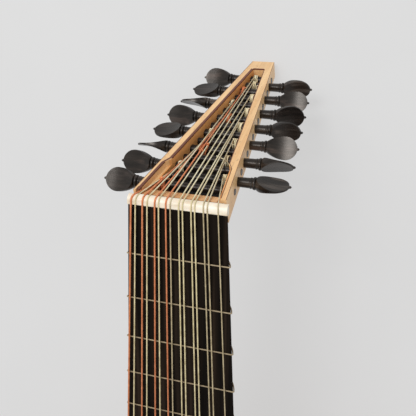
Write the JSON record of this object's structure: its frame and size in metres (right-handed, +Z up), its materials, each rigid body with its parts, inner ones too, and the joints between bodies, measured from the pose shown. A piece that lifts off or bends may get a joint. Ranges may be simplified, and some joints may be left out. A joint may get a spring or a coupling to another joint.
{
  "type": "lute",
  "caption": "Renaissance lute with a ribbed bowl, carved rose, tied gut frets and a bent-back open pegbox with turning side pegs.",
  "frame": {"origin": "centre of the bounding box's bottom face, with the lute lying on its bowl and on the back edge of its pegbox's end, strings up", "axes": "+Y along the neck towards the nut and head, +X towards the treble side, +Z up, away from the soundboard; the strings rise 4.74 degrees towards the nut"},
  "size_m": [0.3222, 0.7798, 0.1967],
  "materials": {
    "bowl_maple": "oil-varnished maple ribs",
    "pegbox_maple": "pale maple, thin satin varnish",
    "pegbox_back": "dark stained wood",
    "neck_wood": "satin varnished wood",
    "inner_wood": "raw spruce and lime",
    "soundboard": "sealed spruce",
    "bridge_wood": "oiled plum wood",
    "ebony": "polished ebony",
    "fingerboard": "satin ebony",
    "bone": "polished bone",
    "gut": "satin gut",
    "fret_gut": "satin gut",
    "copper_wound": "copper-wound gut",
    "steel": "plain steel"
  },
  "bodies": {
    "lute": {"bowl_ribs": "bowl_maple", "end_clasp": "bowl_maple", "neck_screw": "steel", "neck_block": "inner_wood", "soundboard": "soundboard", "rose": "soundboard", "soundboard_bars": "inner_wood", "bridge": "bridge_wood", "body_frets": "ebony", "strap_button": "ebony", "end_lining": "inner_wood", "fingerboard": "fingerboard", "neck": "neck_wood", "pegbox_bass_cheek": "pegbox_maple", "pegbox_treble_cheek": "pegbox_maple", "pegbox_neck_block": "pegbox_maple", "pegbox_end_block": "pegbox_maple", "pegbox_back": "pegbox_back", "string_8_a": "copper_wound", "string_8_b": "gut", "string_7_a": "copper_wound", "string_7_b": "gut", "string_6_a": "copper_wound", "string_6_b": "gut", "string_5_a": "copper_wound", "string_5_b": "gut", "string_4_a": "gut", "string_4_b": "gut", "string_3_a": "gut", "string_3_b": "gut", "string_2_a": "gut", "string_2_b": "gut", "string_1": "gut", "nut": "bone"},
    "bass_peg_1": {"bass_peg_1": "ebony"},
    "treble_peg_1": {"treble_peg_1": "ebony"},
    "bass_peg_2": {"bass_peg_2": "ebony"},
    "treble_peg_2": {"treble_peg_2": "ebony"},
    "bass_peg_3": {"bass_peg_3": "ebony"},
    "treble_peg_3": {"treble_peg_3": "ebony"},
    "bass_peg_4": {"bass_peg_4": "ebony"},
    "treble_peg_4": {"treble_peg_4": "ebony"},
    "bass_peg_5": {"bass_peg_5": "ebony"},
    "treble_peg_5": {"treble_peg_5": "ebony"},
    "bass_peg_6": {"bass_peg_6": "ebony"},
    "treble_peg_6": {"treble_peg_6": "ebony"},
    "bass_peg_7": {"bass_peg_7": "ebony"},
    "treble_peg_7": {"treble_peg_7": "ebony"},
    "bass_peg_8": {"bass_peg_8": "ebony"},
    "fret_1": {"fret_1": "fret_gut"},
    "fret_2": {"fret_2": "fret_gut"},
    "fret_3": {"fret_3": "fret_gut"},
    "fret_4": {"fret_4": "fret_gut"},
    "fret_5": {"fret_5": "fret_gut"},
    "fret_6": {"fret_6": "fret_gut"},
    "fret_7": {"fret_7": "fret_gut"},
    "fret_8": {"fret_8": "fret_gut"}
  },
  "joints": [
    {"name": "bass_peg_1_turn", "type": "hinge", "parent": "lute", "child": "bass_peg_1", "pos_m": [-0.0287, 0.31073, 0.16747], "axis": [-1, 0, 0], "range_deg": [-270, 60]},
    {"name": "treble_peg_1_turn", "type": "hinge", "parent": "lute", "child": "treble_peg_1", "pos_m": [0.02749, 0.31529, 0.15701], "axis": [-1, 0, 0], "range_deg": [-270, 60]},
    {"name": "bass_peg_2_turn", "type": "hinge", "parent": "lute", "child": "bass_peg_2", "pos_m": [-0.02628, 0.31986, 0.14656], "axis": [-1, 0, 0], "range_deg": [-270, 60]},
    {"name": "treble_peg_2_turn", "type": "hinge", "parent": "lute", "child": "treble_peg_2", "pos_m": [0.02507, 0.32443, 0.1361], "axis": [-1, 0, 0], "range_deg": [-270, 60]},
    {"name": "bass_peg_3_turn", "type": "hinge", "parent": "lute", "child": "bass_peg_3", "pos_m": [-0.02386, 0.32899, 0.12564], "axis": [-1, 0, 0], "range_deg": [-270, 60]},
    {"name": "treble_peg_3_turn", "type": "hinge", "parent": "lute", "child": "treble_peg_3", "pos_m": [0.02266, 0.33356, 0.11518], "axis": [-1, 0, 0], "range_deg": [-270, 60]},
    {"name": "bass_peg_4_turn", "type": "hinge", "parent": "lute", "child": "bass_peg_4", "pos_m": [-0.02145, 0.33812, 0.10473], "axis": [-1, 0, 0], "range_deg": [-270, 60]},
    {"name": "treble_peg_4_turn", "type": "hinge", "parent": "lute", "child": "treble_peg_4", "pos_m": [0.02024, 0.34269, 0.09427], "axis": [-1, 0, 0], "range_deg": [-270, 60]},
    {"name": "bass_peg_5_turn", "type": "hinge", "parent": "lute", "child": "bass_peg_5", "pos_m": [-0.01903, 0.34726, 0.08381], "axis": [-1, 0, 0], "range_deg": [-270, 60]},
    {"name": "treble_peg_5_turn", "type": "hinge", "parent": "lute", "child": "treble_peg_5", "pos_m": [0.01782, 0.35182, 0.07336], "axis": [-1, 0, 0], "range_deg": [-270, 60]},
    {"name": "bass_peg_6_turn", "type": "hinge", "parent": "lute", "child": "bass_peg_6", "pos_m": [-0.01661, 0.35639, 0.0629], "axis": [-1, 0, 0], "range_deg": [-270, 60]},
    {"name": "treble_peg_6_turn", "type": "hinge", "parent": "lute", "child": "treble_peg_6", "pos_m": [0.0154, 0.36096, 0.05244], "axis": [-1, 0, 0], "range_deg": [-270, 60]},
    {"name": "bass_peg_7_turn", "type": "hinge", "parent": "lute", "child": "bass_peg_7", "pos_m": [-0.01419, 0.36552, 0.04198], "axis": [-1, 0, 0], "range_deg": [-270, 60]},
    {"name": "treble_peg_7_turn", "type": "hinge", "parent": "lute", "child": "treble_peg_7", "pos_m": [0.01299, 0.37009, 0.03153], "axis": [-1, 0, 0], "range_deg": [-270, 60]},
    {"name": "bass_peg_8_turn", "type": "hinge", "parent": "lute", "child": "bass_peg_8", "pos_m": [-0.01178, 0.37465, 0.02107], "axis": [-1, 0, 0], "range_deg": [-270, 60]},
    {"name": "fret_1_slide", "type": "slide", "parent": "lute", "child": "fret_1", "axis": [0, 0.9966, 0.0826], "range_m": [-0.002, 0.002]},
    {"name": "fret_2_slide", "type": "slide", "parent": "lute", "child": "fret_2", "axis": [0, 0.9966, 0.0826], "range_m": [-0.002, 0.002]},
    {"name": "fret_3_slide", "type": "slide", "parent": "lute", "child": "fret_3", "axis": [0, 0.9966, 0.0826], "range_m": [-0.002, 0.002]},
    {"name": "fret_4_slide", "type": "slide", "parent": "lute", "child": "fret_4", "axis": [0, 0.9966, 0.0826], "range_m": [-0.002, 0.002]},
    {"name": "fret_5_slide", "type": "slide", "parent": "lute", "child": "fret_5", "axis": [0, 0.9966, 0.0826], "range_m": [-0.002, 0.002]},
    {"name": "fret_6_slide", "type": "slide", "parent": "lute", "child": "fret_6", "axis": [0, 0.9966, 0.0826], "range_m": [-0.002, 0.002]},
    {"name": "fret_7_slide", "type": "slide", "parent": "lute", "child": "fret_7", "axis": [0, 0.9966, 0.0826], "range_m": [-0.002, 0.002]},
    {"name": "fret_8_slide", "type": "slide", "parent": "lute", "child": "fret_8", "axis": [0, 0.9966, 0.0826], "range_m": [-0.002, 0.002]}
  ]
}
